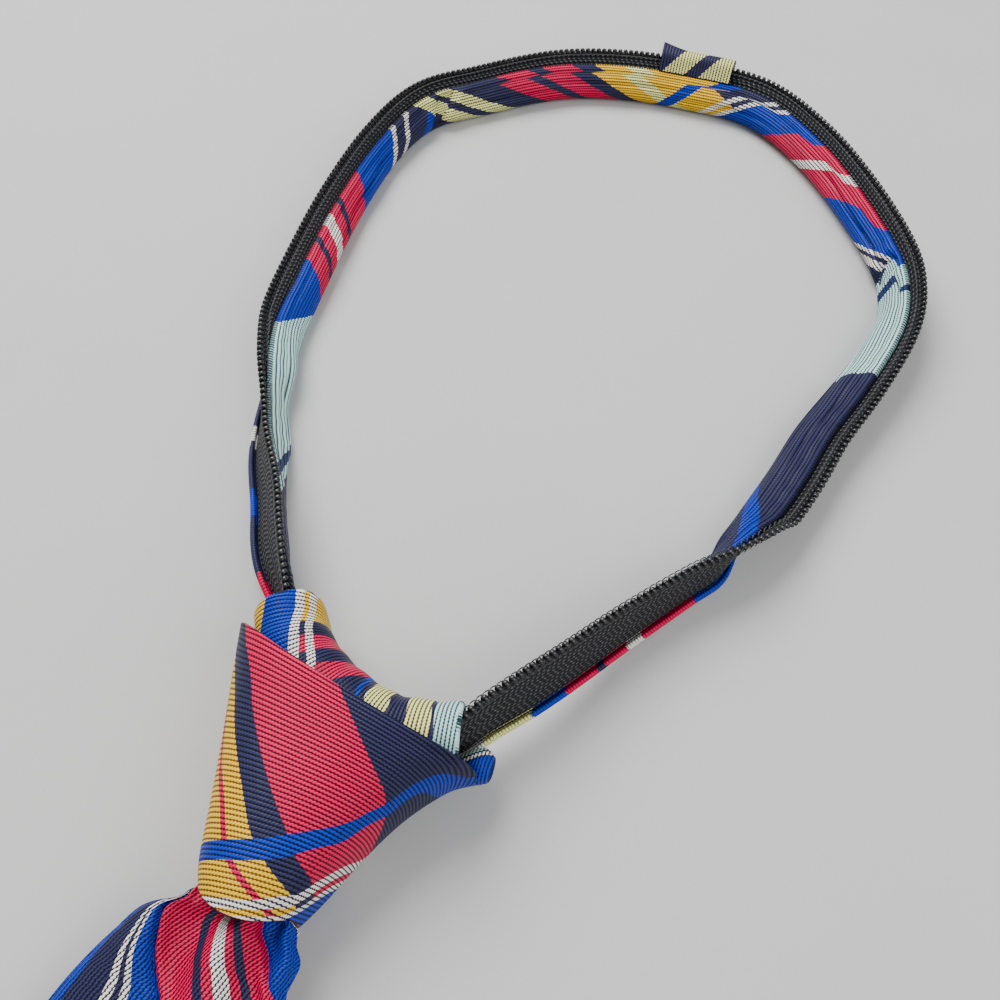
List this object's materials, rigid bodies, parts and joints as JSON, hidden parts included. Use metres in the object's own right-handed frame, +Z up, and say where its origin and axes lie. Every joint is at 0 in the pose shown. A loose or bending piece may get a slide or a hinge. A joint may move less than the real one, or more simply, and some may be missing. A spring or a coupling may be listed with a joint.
{
  "type": "zipper tie",
  "caption": "Pre-tied necktie of ribbed plaid cloth with a hollow knot, a long front blade and a zip-edged neck loop lying open.",
  "frame": {"origin": "middle of the whole tie's box, on the surface that it lies on", "axes": "+Y along the tie from the blade's tip to the nape, +Z up, away from the surface, with the front showing"},
  "size_m": [0.139, 0.6508, 0.024],
  "materials": {
    "tie_cloth": "ribbed silk-like weave in a plaid of red, navy, blue, gold, cream and mint",
    "zip_tape": "black woven tape",
    "zip_coil": "black coil teeth",
    "zip_slider": "black enamel"
  },
  "bodies": {
    "root": {"knot_front": "tie_cloth", "knot_roll": "tie_cloth", "knot_corner_curl": "tie_cloth", "neck_band_casing": "tie_cloth", "left_zip_tape": "zip_tape", "right_zip_tape": "zip_tape", "left_zip_coil": "zip_coil", "right_zip_coil": "zip_coil", "nape_keeper": "tie_cloth", "zip_slider": "zip_slider", "blade_front": "tie_cloth"}
  },
  "joints": []
}
